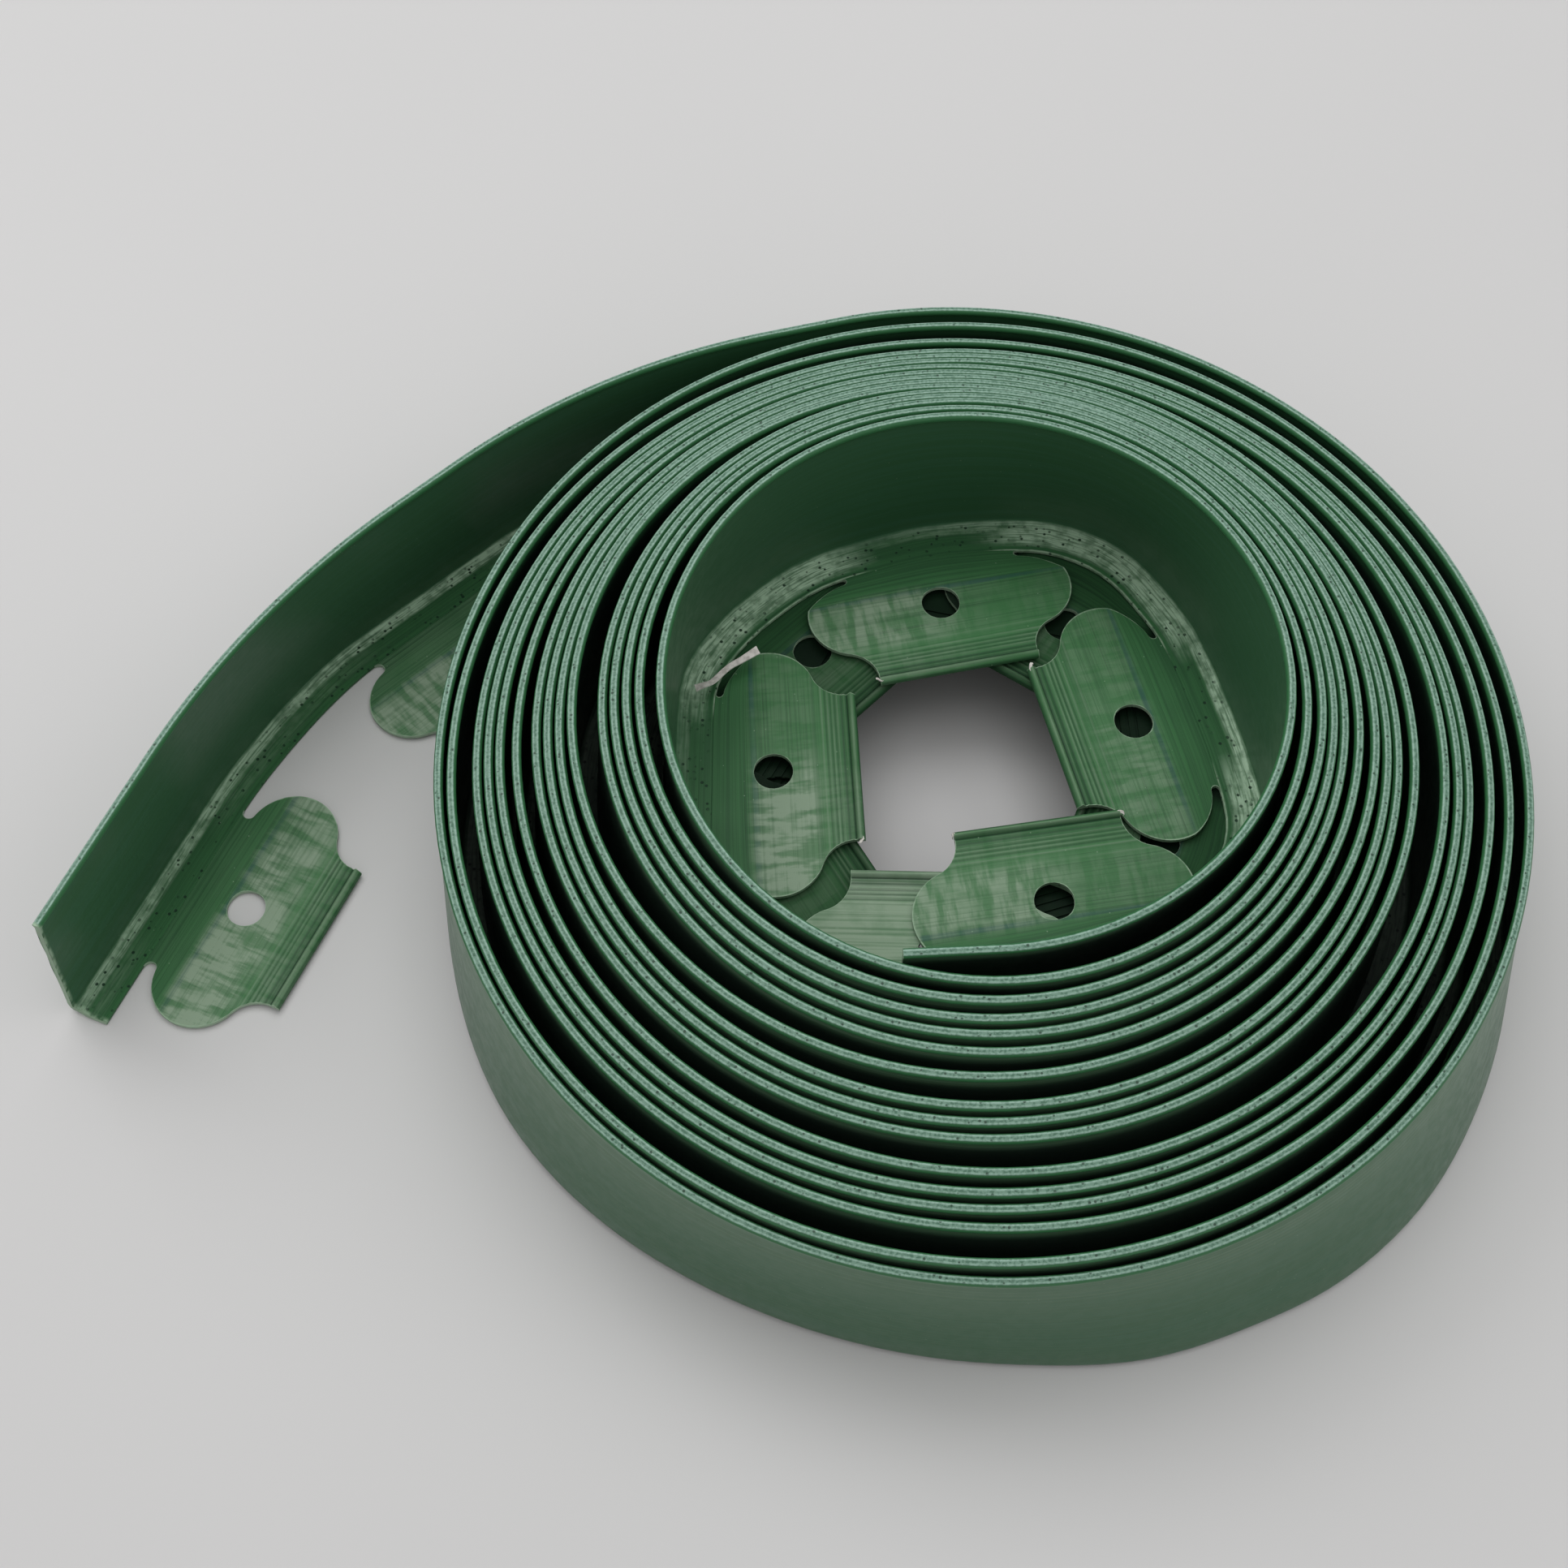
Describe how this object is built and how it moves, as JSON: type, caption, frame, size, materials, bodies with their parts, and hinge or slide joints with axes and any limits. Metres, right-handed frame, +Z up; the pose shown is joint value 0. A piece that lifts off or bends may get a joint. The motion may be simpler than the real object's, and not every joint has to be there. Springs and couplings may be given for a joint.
{
  "type": "coil of lawn edging",
  "caption": "Coil of flexible green plastic lawn edging: an L-shaped strip with a round bead on its wall and punched anchor tabs along its foot, with a loose tail.",
  "frame": {"origin": "on the floor, below the centre of the whole part's box, coil and tail together", "axes": "+Z up out of the coil's open side, +X from the tail towards the coil, +Y to the back, where the tail leaves the coil"},
  "size_m": [0.3268, 0.2504, 0.0677],
  "materials": {
    "strip_plastic": "smooth extruded green plastic, satin, paler and speckled on the bead",
    "tab_plastic": "smooth extruded green plastic, satin, streaked lengthwise"
  },
  "bodies": {
    "coil": {"coiled_strip": "strip_plastic", "tabs_turn_01": "tab_plastic", "tabs_turn_02": "tab_plastic", "tabs_turn_03": "tab_plastic", "tabs_turn_04": "tab_plastic", "tabs_turn_05": "tab_plastic", "tabs_turn_06": "tab_plastic", "tabs_turn_07": "tab_plastic", "tabs_turn_08": "tab_plastic", "tabs_turn_09": "tab_plastic", "tabs_turn_10": "tab_plastic", "tabs_turn_11": "tab_plastic", "tabs_turn_12": "tab_plastic", "tabs_turn_13": "tab_plastic", "tabs_turn_14": "tab_plastic", "tabs_turn_15": "tab_plastic", "tabs_turn_16": "tab_plastic"},
    "tail_near": {"tail_strip_1": "strip_plastic", "tail_tab_1": "tab_plastic"},
    "tail_middle": {"tail_strip_2": "strip_plastic", "tail_tab_2": "tab_plastic"},
    "tail_end": {"tail_strip_3": "strip_plastic", "tail_tab_3": "tab_plastic"}
  },
  "joints": [
    {"name": "flex_1", "type": "hinge", "parent": "coil", "child": "tail_near", "pos_m": [0.05185, 0.12228, 0], "axis": [0, 0, -1], "range_deg": [-1, 16], "stiffness_Nm_per_rad": 0.03},
    {"name": "flex_2", "type": "hinge", "parent": "tail_near", "child": "tail_middle", "pos_m": [-0.04635, 0.10003, 0], "axis": [0, 0, -1], "range_deg": [-8, 16], "stiffness_Nm_per_rad": 0.03},
    {"name": "flex_3", "type": "hinge", "parent": "tail_middle", "child": "tail_end", "pos_m": [-0.1216, 0.03262, 0], "axis": [0, 0, -1], "range_deg": [-12, 16], "stiffness_Nm_per_rad": 0.03}
  ]
}
